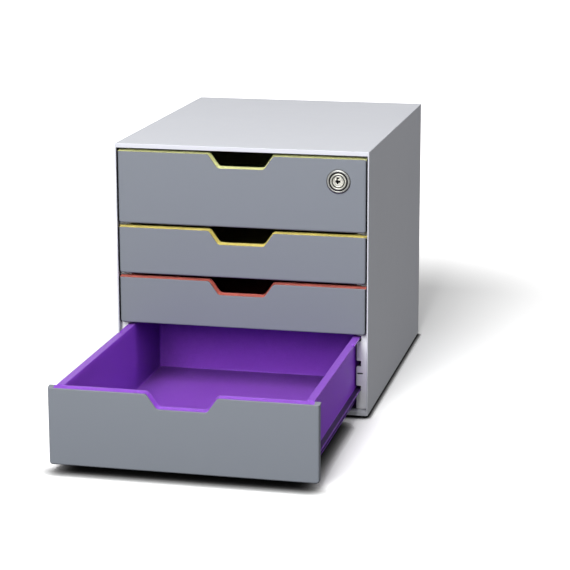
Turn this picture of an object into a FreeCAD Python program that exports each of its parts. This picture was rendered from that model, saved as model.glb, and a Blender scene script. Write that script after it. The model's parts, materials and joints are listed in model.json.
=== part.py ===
import FreeCAD, Part
import math
import os
from types import SimpleNamespace

import Sketcher

# A desktop box with four drawers. Millimetres, +Z up, the drawers open towards -Y.
# The origin is on the desk, under the middle of the housing.

SIZES = {
    # housing
    "box_width": 280.0,
    "box_depth": 356.0,
    "foot_height": 2.0,
    "base_wall": 5.0,
    "top_wall": 5.0,
    "side_skin": 1.5,
    "back_wall": 3.0,
    "outer_edge_round": 0.8,
    "foot_side": 22.0,
    "foot_inset": 2.0,
    "foot_round": 4.0,
    # runner walls: one slot in every unit of height
    "unit_pitch": 28.0,
    "runner_thickness": 12.5,
    "runner_setback": 9.0,
    "runner_sheet": 1.9,
    "runner_face": 2.5,
    "runner_rib": 2.0,
    "slot_rise": 20.3,
    "slot_height": 5.8,
    "slot_depth": 5.0,
    "slot_flare": 0.8,
    "slit_rise": 11.3,
    "slit_height": 1.4,
    "slit_width": 6.3,
    "slit_inset": 0.8,
    # drawer fronts
    "front_side_gap": 1.7,
    "front_lift": 1.2,
    "front_drop": 3.9,
    "front_wall": 2.2,
    "front_depth": 8.0,
    "front_edge_round": 1.9,
    "front_corner_round": 3.0,
    # finger notch in the middle of each front
    "notch_top_half": 36.0,
    "notch_floor_half": 25.5,
    "notch_depth": 15.0,
    "notch_round": 5.0,
    # drawer trays
    "rim_gap": 2.4,
    "rim_thickness": 2.4,
    "rim_end_gap": 1.2,
    "tray_rise": 4.6,
    "tray_wall": 2.0,
    "tray_floor": 2.2,
    "tray_front": 7.2,
    "tray_length": 345.0,
    "tray_side_gap": 1.6,
    "tray_corner_round": 3.0,
    "tray_outer_round": 5.0,
    "tray_floor_round": 3.0,
    "flange_thickness": 2.0,
    "flange_end_gap": 0.7,
    "catch_place": 210.0,
    "catch_length": 6.0,
    "catch_width": 3.0,
    "clip_rib": 2.0,
    "clip_inner": 45.0,
    "clip_inset": 50.0,
    # how far the lowest drawer stands open
    "open_pull": 241.0,
    # lock on the top drawer: its axis counted from the housing's side, the rest from the front's face
    "lock_inset": 32.7,
    "lock_drop": 27.8,
    "lock_hole_gap": 0.3,
    "bezel_radius": 13.0,
    "bezel_height": 1.8,
    "bezel_band": 2.9,
    "bezel_bevel": 0.8,
    "bezel_floor": 0.6,
    "barrel_radius": 8.2,
    "barrel_head_radius": 9.0,
    "barrel_head_height": 2.3,
    "barrel_bevel": 0.7,
    "barrel_length": 21.0,
    "plug_radius": 6.3,
    "plug_running_gap": 0.05,
    "plug_height": 1.9,
    "plug_bevel": 0.4,
    "keyway_width": 4.6,
    "keyway_height": 3.6,
    "keyway_slot": 1.5,
    "keyway_slot_rise": 4.4,
    "keyway_depth": 6.0,
    "nut_flats": 20.0,
    "nut_height": 3.5,
    "shank_radius": 4.0,
    "cam_thickness": 2.5,
    "cam_reach": 24.0,
    "cam_width": 12.0,
    "cam_tip_round": 2.0,
    "screw_fit": 0.05,
    "cam_screw_radius": 1.5,
    "cam_screw_head": 5.2,
    "cam_screw_head_height": 1.8,
    "cam_screw_length": 8.0,
    # strike under the top panel
    "strike_width": 24.0,
    "strike_sheet": 1.5,
    "strike_hook": 10.0,
    "strike_base": 18.0,
    "strike_bend": 1.0,
    "strike_gap": 1.1,
    "strike_screw_place": 11.0,
    "strike_screw_spacing": 14.0,
    "strike_screw_radius": 1.6,
    "strike_screw_head": 3.0,
    "strike_screw_head_height": 1.4,
    "strike_screw_length": 4.5,
}

# Drawers from the desk up, each with its height in units of the runner pitch.
DRAWER_UNITS = [("drawer_4", 3), ("drawer_3", 2), ("drawer_2", 2), ("drawer_1", 3)]
TOTAL_UNITS = sum(units for _, units in DRAWER_UNITS)
LOCKED_DRAWER = "drawer_1"
OPEN_DRAWER = "drawer_4"
RUNNER_RIBS = 5
CLOSE = 0.01


class Length:
    """A size that knows both its amount and the spreadsheet formula it comes from."""

    def __init__(self, formula, amount):
        self.formula = formula
        self.amount = amount

    def __add__(self, other):
        other = length(other)
        return Length(f"({self.formula} + {other.formula})", self.amount + other.amount)

    def __sub__(self, other):
        other = length(other)
        return Length(f"({self.formula} - {other.formula})", self.amount - other.amount)

    def __mul__(self, other):
        other = length(other)
        return Length(f"({self.formula} * {other.formula})", self.amount * other.amount)

    def __truediv__(self, other):
        other = length(other)
        return Length(f"({self.formula} / {other.formula})", self.amount / other.amount)

    def __neg__(self):
        return Length(f"(0 - {self.formula})", -self.amount)


def length(value):
    """A plain number becomes a Length without a formula of its own."""
    if isinstance(value, Length):
        return value
    return Length(repr(float(value)), float(value))


def hypotenuse(one, other):
    formula = f"sqrt({one.formula} * {one.formula} + {other.formula} * {other.formula})"
    return Length(formula, math.hypot(one.amount, other.amount))


doc = FreeCAD.newDocument("desktop_file_drawer")
sheet = doc.addObject("Spreadsheet::Sheet", "sizes")
for row, (alias, number) in enumerate(SIZES.items(), 1):
    sheet.set(f"A{row}", alias)
    sheet.set(f"B{row}", str(number))
    sheet.setAlias(f"B{row}", alias)
doc.recompute()
dim = SimpleNamespace(**{alias: Length(f"sizes.{alias}", number) for alias, number in SIZES.items()})

# Places worked out from the sizes above.
half_width = dim.box_width / 2
half_depth = dim.box_depth / 2
inside_half = half_width - dim.side_skin
base_top = dim.foot_height + dim.base_wall
bay_top = base_top + dim.unit_pitch * TOTAL_UNITS
box_height = bay_top + dim.top_wall
runner_face_x = inside_half - dim.runner_thickness
slot_end_x = runner_face_x + dim.slot_depth
front_half = inside_half - dim.front_side_gap
tray_half = runner_face_x - dim.tray_side_gap
tray_inner_half = tray_half - dim.tray_wall
tray_inner_front = dim.tray_front + dim.tray_wall
flange_half = slot_end_x - dim.flange_end_gap
rim_end_half = inside_half - dim.rim_end_gap
rim_rise = dim.front_drop - dim.rim_gap
notch_slant = hypotenuse(dim.notch_top_half - dim.notch_floor_half, dim.notch_depth)
notch_spread = (notch_slant - dim.notch_top_half + dim.notch_floor_half) / dim.notch_depth
notch_front_spread = dim.rim_thickness - rim_rise

# Places along the lock's axis, counted inwards from the front's face, and where its axis lies.
lock_offset = half_width - dim.lock_inset
strike_front = dim.barrel_length + dim.strike_gap
cam_front = strike_front + dim.strike_sheet + dim.strike_gap
cam_back = cam_front + dim.cam_thickness
lock_height = bay_top - dim.lock_drop
bore_radius = dim.plug_radius + dim.plug_running_gap
lock_opening = dim.barrel_radius + dim.lock_hole_gap


def new_body(label):
    body = doc.addObject("PartDesign::Body", label)
    body.Label = label
    return body


def place(body, x=0, y=0, z=0, turn=None):
    """Put a body at its place. turn is an angle in degrees about an axis."""
    if turn:
        axis, degrees = turn
        body.Placement = FreeCAD.Placement(FreeCAD.Vector(), FreeCAD.Rotation(axis, degrees))
    for letter, value in zip("xyz", (x, y, z)):
        body.setExpression(f"Placement.Base.{letter}", length(value).formula)


def origin_feature(body, role):
    return next(item for item in body.Origin.OriginFeatures if item.Role == role)


def new_sketch(body, name, plane, lift):
    sketch = body.newObject("Sketcher::SketchObject", f"{body.Label}_{name}")
    sketch.AttachmentSupport = [(origin_feature(body, plane), "")]
    sketch.MapMode = "FlatFace"
    sketch.setExpression("AttachmentOffset.Base.z", length(lift).formula)
    return sketch


def outline(body, name, plane, loops, lift=0):
    """Sketch of closed loops with straight sides, each corner dimensioned from the origin."""
    sketch = new_sketch(body, name, plane, lift)
    for corners in loops:
        corners = [(length(u), length(v)) for u, v in corners]
        points = [FreeCAD.Vector(u.amount, v.amount, 0) for u, v in corners]
        first = sketch.GeometryCount
        count = len(corners)
        for index in range(count):
            side = Part.LineSegment(points[index], points[(index + 1) % count])
            sketch.addGeometry(side, False)
        for index in range(count):
            after = (index + 1) % count
            sketch.addConstraint(Sketcher.Constraint("Coincident", first + index, 2, first + after, 1))
        for index, (u, v) in enumerate(corners):
            fix_coordinate(sketch, "DistanceX", first + index, 1, u)
            fix_coordinate(sketch, "DistanceY", first + index, 1, v)
    return sketch


def fix_coordinate(sketch, direction, geometry, point, value):
    rule = Sketcher.Constraint(direction, -1, 1, geometry, point, value.amount)
    number = sketch.addConstraint(rule)
    sketch.setExpression(f"Constraints[{number}]", value.formula)


def rectangle(u_low, u_high, v_low, v_high):
    return [(u_low, v_low), (u_high, v_low), (u_high, v_high), (u_low, v_high)]


def circles(body, name, plane, rounds, lift=0):
    """Sketch of full circles, each given as its centre and radius."""
    sketch = new_sketch(body, name, plane, lift)
    for u, v, radius in rounds:
        u, v, radius = length(u), length(v), length(radius)
        middle = FreeCAD.Vector(u.amount, v.amount, 0)
        number = sketch.addGeometry(Part.Circle(middle, FreeCAD.Vector(0, 0, 1), radius.amount), False)
        fix_coordinate(sketch, "DistanceX", number, 3, u)
        fix_coordinate(sketch, "DistanceY", number, 3, v)
        rule = sketch.addConstraint(Sketcher.Constraint("Radius", number, radius.amount))
        sketch.setExpression(f"Constraints[{rule}]", radius.formula)
    return sketch


def pad(body, sketch, depth, back=False):
    feature = body.newObject("PartDesign::Pad", sketch.Name + "_pad")
    feature.Profile = sketch
    feature.Reversed = back
    feature.setExpression("Length", length(depth).formula)
    doc.recompute()
    return feature


def pocket(body, sketch, depth, back=False):
    """Cut with a sketch, and make sure that the cut takes something away."""
    before = body.Shape.Volume
    feature = body.newObject("PartDesign::Pocket", sketch.Name + "_cut")
    feature.Profile = sketch
    feature.Reversed = back
    feature.setExpression("Length", length(depth).formula)
    doc.recompute()
    if feature.Shape.Volume > before - CLOSE:
        raise RuntimeError(f"{feature.Name} cuts nothing")
    return feature


def repeat_up(body, feature, copies, reach):
    """Repeat a feature upwards, copies in all, over the whole reach."""
    pattern = body.newObject("PartDesign::LinearPattern", feature.Name + "_row")
    pattern.Originals = [feature]
    pattern.Direction = (origin_feature(body, "Z_Axis"), [""])
    pattern.Occurrences = copies
    pattern.setExpression("Length", reach.formula)
    body.Tip = pattern
    doc.recompute()
    return pattern


def loft(body, first, second):
    """Straight-sided solid between two outlines with the same number of corners."""
    feature = body.newObject("PartDesign::AdditiveLoft", first.Name + "_loft")
    feature.Profile = first
    feature.Sections = [second]
    feature.Ruled = True
    doc.recompute()
    return feature


def near(number, targets):
    return any(abs(number - length(target).amount) < CLOSE for target in targets)


def edges_along(feature, axis, x=None, y=None, z=None):
    """Names of the straight edges along an axis, with the middle at one of the places given."""
    names = []
    for number, edge in enumerate(feature.Shape.Edges, 1):
        if len(edge.Vertexes) < 2:
            continue
        start, end = edge.Vertexes[0].Point, edge.Vertexes[1].Point
        run = abs(getattr(end - start, axis))
        if run < CLOSE or edge.Length > run + CLOSE / 10:
            continue
        middle = (start + end) / 2
        wanted = [(middle.x, x), (middle.y, y), (middle.z, z)]
        if all(places is None or near(at, places) for at, places in wanted):
            names.append(f"Edge{number}")
    if not names:
        raise RuntimeError(f"{feature.Name} has no such edge")
    return names


def round_edges(body, feature, edges, radius, name):
    fillet = body.newObject("PartDesign::Fillet", f"{body.Label}_{name}")
    fillet.Base = (feature, edges)
    fillet.setExpression("Radius", length(radius).formula)
    doc.recompute()
    return fillet


def revolve(body, corners, name="profile"):
    """Turn an outline of (radius, height) corners once round the body's Z axis."""
    sketch = outline(body, name, "XZ_Plane", [corners])
    feature = body.newObject("PartDesign::Revolution", sketch.Name + "_turned")
    feature.Profile = sketch
    feature.ReferenceAxis = (origin_feature(body, "Z_Axis"), [""])
    feature.Angle = 360
    doc.recompute()
    return feature


# Housing ---------------------------------------------------------------------------------------

def make_hood():
    """Top panel and both outer skins, moulded as one piece open at the front, back and bottom."""
    body = new_body("housing_hood")
    section = [
        (-half_width, dim.foot_height),
        (-inside_half, dim.foot_height),
        (-inside_half, bay_top),
        (inside_half, bay_top),
        (inside_half, dim.foot_height),
        (half_width, dim.foot_height),
        (half_width, box_height),
        (-half_width, box_height),
    ]
    shell_section = outline(body, "section", "XZ_Plane", [section], half_depth)
    shell = pad(body, shell_section, dim.box_depth, back=True)
    long_edges = edges_along(shell, "y", x=(-half_width, half_width), z=(box_height,))
    round_edges(body, shell, long_edges, dim.outer_edge_round, "long_round")
    screw_radius = dim.strike_screw_radius + dim.screw_fit
    holes = circles(body, "screw_holes", "XY_Plane", strike_screw_places(screw_radius), bay_top)
    pocket(body, holes, dim.strike_screw_length - dim.strike_sheet + dim.screw_fit, back=True)
    place(body)


def make_base():
    body = new_body("housing_base")
    plate = rectangle(-inside_half, inside_half, -half_depth, half_depth)
    pad(body, outline(body, "plate", "XY_Plane", [plate]), dim.base_wall)
    place(body, z=dim.foot_height)


def make_back():
    body = new_body("housing_back")
    plate = rectangle(-inside_half, inside_half, base_top, bay_top)
    pad(body, outline(body, "plate", "XZ_Plane", [plate]), dim.back_wall)
    place(body, y=half_depth)


def make_runner_wall(label, side):
    """Ribbed wall with a runner slot in every unit. side is 1 on the right and -1 on the left."""
    body = new_body(label)
    wall_length = dim.box_depth - dim.runner_setback - dim.back_wall
    height = bay_top - base_top
    face = runner_face_x * side
    skin = inside_half * side
    sheet_back = (runner_face_x + dim.runner_sheet) * side
    channel_back = (slot_end_x + dim.runner_sheet) * side
    slot_end = slot_end_x * side
    flare_end = (runner_face_x + dim.slot_flare) * side
    slot_top = dim.slot_rise + dim.slot_height

    sheet_plan = rectangle(face, sheet_back, 0, wall_length)
    pad(body, outline(body, "sheet", "XY_Plane", [sheet_plan]), height)
    front_plan = rectangle(face, skin, 0, dim.runner_face)
    pad(body, outline(body, "front", "XY_Plane", [front_plan]), height)
    rib_gap = (wall_length - dim.runner_rib) / RUNNER_RIBS
    for number in range(1, RUNNER_RIBS + 1):
        start = rib_gap * number
        rib_plan = rectangle(face, skin, start, start + dim.runner_rib)
        pad(body, outline(body, f"rib_{number}", "XY_Plane", [rib_plan]), height)
    for name, low in (("floor", length(0)), ("ceiling", height - dim.runner_sheet)):
        flange_plan = rectangle(face, skin, 0, wall_length)
        pad(body, outline(body, name, "XY_Plane", [flange_plan], low), dim.runner_sheet)

    reach = dim.unit_pitch * (TOTAL_UNITS - 1)
    channel = rectangle(face, channel_back, dim.slot_rise - dim.runner_sheet, dim.unit_pitch)
    channel_pad = pad(body, outline(body, "channel", "XZ_Plane", [channel]), wall_length, back=True)
    repeat_up(body, channel_pad, TOTAL_UNITS, reach)

    slot = [
        (face, dim.slot_rise - dim.slot_flare),
        (flare_end, dim.slot_rise),
        (slot_end, dim.slot_rise),
        (slot_end, slot_top),
        (flare_end, slot_top),
        (face, slot_top + dim.slot_flare),
    ]
    slot_cut = pocket(body, outline(body, "slot", "XZ_Plane", [slot]), wall_length)
    repeat_up(body, slot_cut, TOTAL_UNITS, reach)

    slit_start = (runner_face_x + dim.slit_inset) * side
    slit_end = (runner_face_x + dim.slit_inset + dim.slit_width) * side
    slit_low = dim.unit_pitch + dim.slit_rise
    slit = rectangle(slit_start, slit_end, slit_low, slit_low + dim.slit_height)
    pocket(body, outline(body, "slit", "XZ_Plane", [slit]), dim.runner_face)
    place(body, y=dim.runner_setback - half_depth, z=base_top)


def make_foot(label, x_side, y_side):
    body = new_body(label)
    half = dim.foot_side / 2
    square = rectangle(-half, half, -half, half)
    block = pad(body, outline(body, "pad", "XY_Plane", [square]), dim.foot_height)
    round_edges(body, block, edges_along(block, "z"), dim.foot_round, "corners")
    x = (half_width - dim.foot_inset - half) * x_side
    y = (half_depth - dim.foot_inset - half) * y_side
    place(body, x=x, y=y)


# Drawers ---------------------------------------------------------------------------------------

def notch_points(top, spread):
    """The notch in a top edge at the height given, from left to right, set out by the spread."""
    shift = notch_spread * spread
    floor = top - dim.notch_depth
    top_half = dim.notch_top_half + shift
    floor_half = dim.notch_floor_half + shift
    return [(-top_half, top), (-floor_half, floor), (floor_half, floor), (top_half, top)]


def notch_edges(feature, top, spread):
    """Edges along Y at the corners of a notch line."""
    names = []
    for x, z in notch_points(top, spread):
        names += edges_along(feature, "y", x=(x,), z=(z,))
    return names


def drawer_place(name):
    """Where a drawer's front face meets its lowest unit line, as (y, z)."""
    below = 0
    for drawer, units in DRAWER_UNITS:
        if drawer == name:
            break
        below += units
    y = -half_depth
    if name == OPEN_DRAWER:
        y = y - dim.open_pull
    return y, base_top + dim.unit_pitch * below


def make_front(drawer, units):
    """Front cover: a shallow pan behind which the tray's front wall sits, notched at the top."""
    body = new_body(f"{drawer}_front")
    height = dim.unit_pitch * units
    top = height - dim.front_drop
    plate = [(-front_half, dim.front_lift), (front_half, dim.front_lift), (front_half, top)]
    plate += reversed(notch_points(top, 0))
    plate += [(-front_half, top)]
    block = pad(body, outline(body, "plate", "XZ_Plane", [plate]), dim.front_depth, back=True)

    hollow_half = front_half - dim.front_wall
    shelf = height - dim.rim_gap - dim.rim_thickness
    hollow = [
        (-hollow_half, dim.front_lift + dim.front_wall),
        (hollow_half, dim.front_lift + dim.front_wall),
        (hollow_half, shelf),
        (half_width, shelf),
        (half_width, height),
        (-half_width, height),
        (-half_width, shelf),
        (-hollow_half, shelf),
    ]
    hollow_sketch = outline(body, "hollow", "XZ_Plane", [hollow], -dim.front_depth)
    last = pocket(body, hollow_sketch, dim.front_depth - dim.front_wall, back=True)
    if drawer == LOCKED_DRAWER:
        hole = circles(body, "lock_hole", "XZ_Plane", [lock_hole(height)])
        last = pocket(body, hole, dim.front_wall)
    last = round_edges(body, last, notch_edges(last, top, 0), dim.notch_round, "notch_round")
    corners = edges_along(last, "y", x=(-front_half, front_half), z=(dim.front_lift,))
    last = round_edges(body, last, corners, dim.front_corner_round, "corner_round")
    rim = edges_along(last, "z", x=(-front_half, front_half), y=(0,))
    rim += edges_along(last, "x", y=(0,), z=(dim.front_lift,))
    last = round_edges(body, last, rim, dim.front_edge_round, "edge_round")
    y, z = drawer_place(drawer)
    place(body, y=y, z=z)


def lock_hole(height):
    return lock_offset, height - dim.lock_drop, lock_opening


def rim_section(top, spread, under):
    """Section through the front rim from side to side, with the notch in its top and underside."""
    section = [(-rim_end_half, top)] + notch_points(top, spread) + [(rim_end_half, top)]
    section += [(rim_end_half, under)]
    section += reversed(notch_points(under, notch_front_spread))
    return section + [(-rim_end_half, under)]


def make_tray(drawer, units):
    """Open tray with a rim all round, runner flanges low on its sides, and a notched front."""
    body = new_body(f"{drawer}_tray")
    height = dim.unit_pitch * units
    rim_top = height - dim.rim_gap
    rim_under = rim_top - dim.rim_thickness
    inner_back = dim.tray_length - dim.tray_wall

    block_plan = rectangle(-tray_half, tray_half, dim.tray_front, dim.tray_length)
    block = outline(body, "block", "XY_Plane", [block_plan], dim.tray_rise)
    last = pad(body, block, rim_top - dim.tray_rise)
    corners = edges_along(last, "z", x=(-tray_half, tray_half), y=(dim.tray_length,))
    round_edges(body, last, corners, dim.tray_outer_round, "outer_corners")
    hollow_plan = rectangle(-tray_inner_half, tray_inner_half, tray_inner_front, inner_back)
    hollow_depth = rim_top - dim.tray_rise - dim.tray_floor
    last = pocket(body, outline(body, "hollow", "XY_Plane", [hollow_plan], rim_top), hollow_depth)

    floor_top = dim.tray_rise + dim.tray_floor
    sides, ends = (-tray_inner_half, tray_inner_half), (tray_inner_front, inner_back)
    corners = edges_along(last, "z", x=sides, y=ends)
    last = round_edges(body, last, corners, dim.tray_corner_round, "inner_corners")
    floor_edges = edges_along(last, "y", x=sides, z=(floor_top,))
    last = round_edges(body, last, floor_edges, dim.tray_floor_round, "inner_floor")

    opening = notch_points(rim_top, -rim_rise)
    pocket(body, outline(body, "notch", "XZ_Plane", [opening], -dim.tray_front), dim.tray_wall)

    low_edge = outline(body, "front_rim", "XZ_Plane", [rim_section(rim_top - rim_rise, 0, rim_under)],
                       -dim.front_wall)
    high_section = rim_section(rim_top, -rim_rise, rim_under)
    high_edge = outline(body, "back_rim", "XZ_Plane", [high_section], -dim.tray_front)
    loft(body, low_edge, high_edge)
    ledge = outline(body, "rim_ledge", "XZ_Plane", [high_section], -dim.tray_front)
    last = pad(body, ledge, dim.front_depth - dim.tray_front, back=True)

    ring = [
        (-flange_half, dim.tray_front),
        (-tray_inner_half, dim.tray_front),
        (-tray_inner_half, inner_back),
        (tray_inner_half, inner_back),
        (tray_inner_half, dim.tray_front),
        (flange_half, dim.tray_front),
        (flange_half, dim.tray_length),
        (-flange_half, dim.tray_length),
    ]
    pad(body, outline(body, "rim", "XY_Plane", [ring], rim_under), dim.rim_thickness)
    flanges = [rectangle(tray_inner_half, flange_half, dim.tray_front, dim.tray_length)]
    flanges += [rectangle(-flange_half, -tray_inner_half, dim.tray_front, dim.tray_length)]
    last = pad(body, outline(body, "flanges", "XY_Plane", flanges, dim.slot_rise), dim.flange_thickness)
    flange_corners = edges_along(last, "z", x=(-flange_half, flange_half), y=(dim.tray_length,))
    round_edges(body, last, flange_corners, dim.tray_outer_round, "flange_corners")

    catch_end = dim.catch_place + dim.catch_length
    catches = [rectangle(flange_half - dim.catch_width, half_width, dim.catch_place, catch_end)]
    catches += [rectangle(-half_width, dim.catch_width - flange_half, dim.catch_place, catch_end)]
    pocket(body, outline(body, "catches", "XY_Plane", catches, rim_top), dim.rim_thickness)

    ribs = []
    rib_low = dim.tray_rise
    rib_high = rim_under - dim.notch_depth
    for offset in (dim.clip_inner, half_width - dim.clip_inset):
        ribs += [rectangle(offset, offset + dim.clip_rib, rib_low, rib_high)]
        ribs += [rectangle(-offset - dim.clip_rib, -offset, rib_low, rib_high)]
    rib_sketch = outline(body, "clip_ribs", "XZ_Plane", ribs, -dim.front_wall)
    last = pad(body, rib_sketch, dim.tray_front - dim.front_wall, back=True)
    if drawer == LOCKED_DRAWER:
        hole = circles(body, "lock_hole", "XZ_Plane", [lock_hole(height)], -dim.tray_front)
        last = pocket(body, hole, dim.tray_wall)
    y, z = drawer_place(drawer)
    place(body, y=y, z=z)


# Lock ------------------------------------------------------------------------------------------
# These bodies are built about their own Z axis, which then points out of the drawer's front.

def place_in_lock(body, outwards=0):
    y = -half_depth - length(outwards)
    place(body, x=lock_offset, y=y, z=lock_height, turn=(FreeCAD.Vector(1, 0, 0), 90))


def make_bezel():
    body = new_body("lock_bezel")
    band_inner = dim.bezel_radius - dim.bezel_band
    revolve(body, [
        (lock_opening, 0),
        (dim.bezel_radius, 0),
        (dim.bezel_radius, dim.bezel_height - dim.bezel_bevel),
        (dim.bezel_radius - dim.bezel_bevel, dim.bezel_height),
        (band_inner, dim.bezel_height),
        (band_inner, dim.bezel_floor),
        (lock_opening, dim.bezel_floor),
    ])
    place_in_lock(body)


def make_barrel():
    """Threaded body with a collar that rests in the bezel."""
    body = new_body("lock_barrel")
    revolve(body, [
        (bore_radius, -dim.barrel_length),
        (dim.barrel_radius, -dim.barrel_length),
        (dim.barrel_radius, dim.bezel_floor),
        (dim.barrel_head_radius, dim.bezel_floor),
        (dim.barrel_head_radius, dim.barrel_head_height - dim.barrel_bevel),
        (dim.barrel_head_radius - dim.barrel_bevel, dim.barrel_head_height),
        (bore_radius + dim.barrel_bevel, dim.barrel_head_height),
        (bore_radius, dim.barrel_head_height - dim.barrel_bevel),
    ])
    place_in_lock(body)


def make_nut():
    body = new_body("lock_nut")
    half = dim.nut_flats / 2
    point = dim.nut_flats / math.sqrt(3)
    corners = [
        (length(0), point),
        (half, point / 2),
        (half, -point / 2),
        (length(0), -point),
        (-half, -point / 2),
        (-half, point / 2),
    ]
    pad(body, outline(body, "hexagon", "XY_Plane", [corners]), dim.nut_height)
    hole = circles(body, "hole", "XY_Plane", [(0, 0, dim.barrel_radius + dim.screw_fit)], dim.nut_height)
    pocket(body, hole, dim.nut_height)
    place_in_lock(body, outwards=-tray_inner_front - dim.nut_height)


def make_plug():
    """Core that turns with the key: keyway at the front, shank for the cam at the back."""
    body = new_body("lock_plug")
    revolve(body, [
        (0, -cam_back),
        (dim.shank_radius, -cam_back),
        (dim.shank_radius, -cam_front),
        (dim.plug_radius, -cam_front),
        (dim.plug_radius, dim.plug_height - dim.plug_bevel),
        (dim.plug_radius - dim.plug_bevel, dim.plug_height),
        (0, dim.plug_height),
    ])
    half_key = dim.keyway_width / 2
    half_slot = dim.keyway_slot / 2
    low = -dim.keyway_height / 2
    high = dim.keyway_height / 2
    keyway = [
        (-half_key, low),
        (half_key, low),
        (half_key, high),
        (half_slot, high),
        (half_slot, dim.keyway_slot_rise),
        (-half_slot, dim.keyway_slot_rise),
        (-half_slot, high),
        (-half_key, high),
    ]
    pocket(body, outline(body, "keyway", "XY_Plane", [keyway], dim.plug_height), dim.keyway_depth)
    tapped = dim.cam_screw_radius + dim.screw_fit
    hole = circles(body, "screw_hole", "XY_Plane", [(0, 0, tapped)], -cam_back)
    pocket(body, hole, dim.cam_screw_length + dim.screw_fit, back=True)
    place_in_lock(body)


def make_cam():
    """Lever that points to the left when unlocked."""
    body = new_body("lock_cam")
    half = dim.cam_width / 2
    plate = pad(body, outline(body, "lever", "XY_Plane", [rectangle(-dim.cam_reach, half, -half, half)]),
                dim.cam_thickness)
    tip = edges_along(plate, "z", x=(-dim.cam_reach,))
    last = round_edges(body, plate, tip, dim.cam_tip_round, "tip")
    hub = edges_along(last, "z", x=(half,))
    round_edges(body, last, hub, half - CLOSE * 10, "hub")
    hole = circles(body, "hole", "XY_Plane", [(0, 0, dim.shank_radius + dim.screw_fit)], dim.cam_thickness)
    pocket(body, hole, dim.cam_thickness)
    place_in_lock(body, outwards=-cam_back)


def make_cam_screw():
    body = new_body("cam_screw")
    revolve(body, [
        (0, -dim.cam_screw_head_height),
        (dim.cam_screw_head, -dim.cam_screw_head_height),
        (dim.cam_screw_head, 0),
        (dim.cam_screw_radius, 0),
        (dim.cam_screw_radius, dim.cam_screw_length),
        (0, dim.cam_screw_length),
    ])
    place_in_lock(body, outwards=-cam_back)


def strike_screw_places(radius):
    """The two strike screws as circles seen from above."""
    y = strike_front + dim.strike_screw_place - half_depth
    half = dim.strike_screw_spacing / 2
    return [(lock_offset - half, y, radius), (lock_offset + half, y, radius)]


def make_strike():
    """Bent steel tab under the top panel, which the raised cam stands behind."""
    body = new_body("lock_strike")
    front = strike_front - half_depth
    under = bay_top - dim.strike_sheet
    section = [
        (front, bay_top - dim.strike_hook),
        (front + dim.strike_sheet, bay_top - dim.strike_hook),
        (front + dim.strike_sheet, under),
        (front + dim.strike_base, under),
        (front + dim.strike_base, bay_top),
        (front, bay_top),
    ]
    left = lock_offset - dim.strike_width / 2
    bent = pad(body, outline(body, "section", "YZ_Plane", [section], left), dim.strike_width)
    inner = edges_along(bent, "x", y=(front + dim.strike_sheet,), z=(under,))
    last = round_edges(body, bent, inner, dim.strike_bend, "inner_bend")
    outer = edges_along(last, "x", y=(front,), z=(bay_top,))
    round_edges(body, last, outer, dim.strike_bend + dim.strike_sheet, "outer_bend")
    screw_places = strike_screw_places(dim.strike_screw_radius + dim.screw_fit)
    pocket(body, circles(body, "holes", "XY_Plane", screw_places, bay_top), dim.strike_sheet)
    place(body)


def make_strike_screws():
    body = new_body("strike_screws")
    body.AllowCompound = True
    under = bay_top - dim.strike_sheet
    heads = circles(body, "heads", "XY_Plane", strike_screw_places(dim.strike_screw_head), under)
    pad(body, heads, dim.strike_screw_head_height, back=True)
    shanks = circles(body, "shanks", "XY_Plane", strike_screw_places(dim.strike_screw_radius), under)
    pad(body, shanks, dim.strike_screw_length)
    place(body)


for name, drawer_units in DRAWER_UNITS:
    make_front(name, drawer_units)
    make_tray(name, drawer_units)

make_bezel()
make_barrel()
make_nut()
make_plug()
make_cam()
make_cam_screw()
make_strike()
make_strike_screws()

make_hood()
make_base()
make_back()
make_runner_wall("left_runner_wall", -1)
make_runner_wall("right_runner_wall", 1)
make_foot("foot_front_left", -1, -1)
make_foot("foot_front_right", 1, -1)
make_foot("foot_rear_left", -1, 1)
make_foot("foot_rear_right", 1, 1)

doc.recompute()
for item in doc.Objects:
    if "Invalid" in item.State or "Error" in item.State:
        raise RuntimeError(f"{item.Name} failed: {item.State}")
bodies = [item for item in doc.Objects if item.TypeId == "PartDesign::Body"]
for body in bodies:
    if body.Shape.isNull() or not body.Shape.isValid():
        raise RuntimeError(f"{body.Label} has no valid shape")
os.makedirs("parts", exist_ok=True)
for body in bodies:
    body.Shape.exportStep(f"parts/{body.Label}.step")
    print(body.Label, len(body.Shape.Solids), "solid", round(body.Shape.Volume), "mm3")
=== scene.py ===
# %% [markdown]
# # A desktop box with four drawers
# The real thing is a pale grey plastic box for a desk. Four trays slide in it, each in its own bright
# plastic, and each tray wears a darker grey front cover with a finger notch. The top one has a small
# lock. The engineering model gives every piece its place and size; here the pieces get the rounded
# edges, the moulded skin and the light that make them look real.

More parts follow.
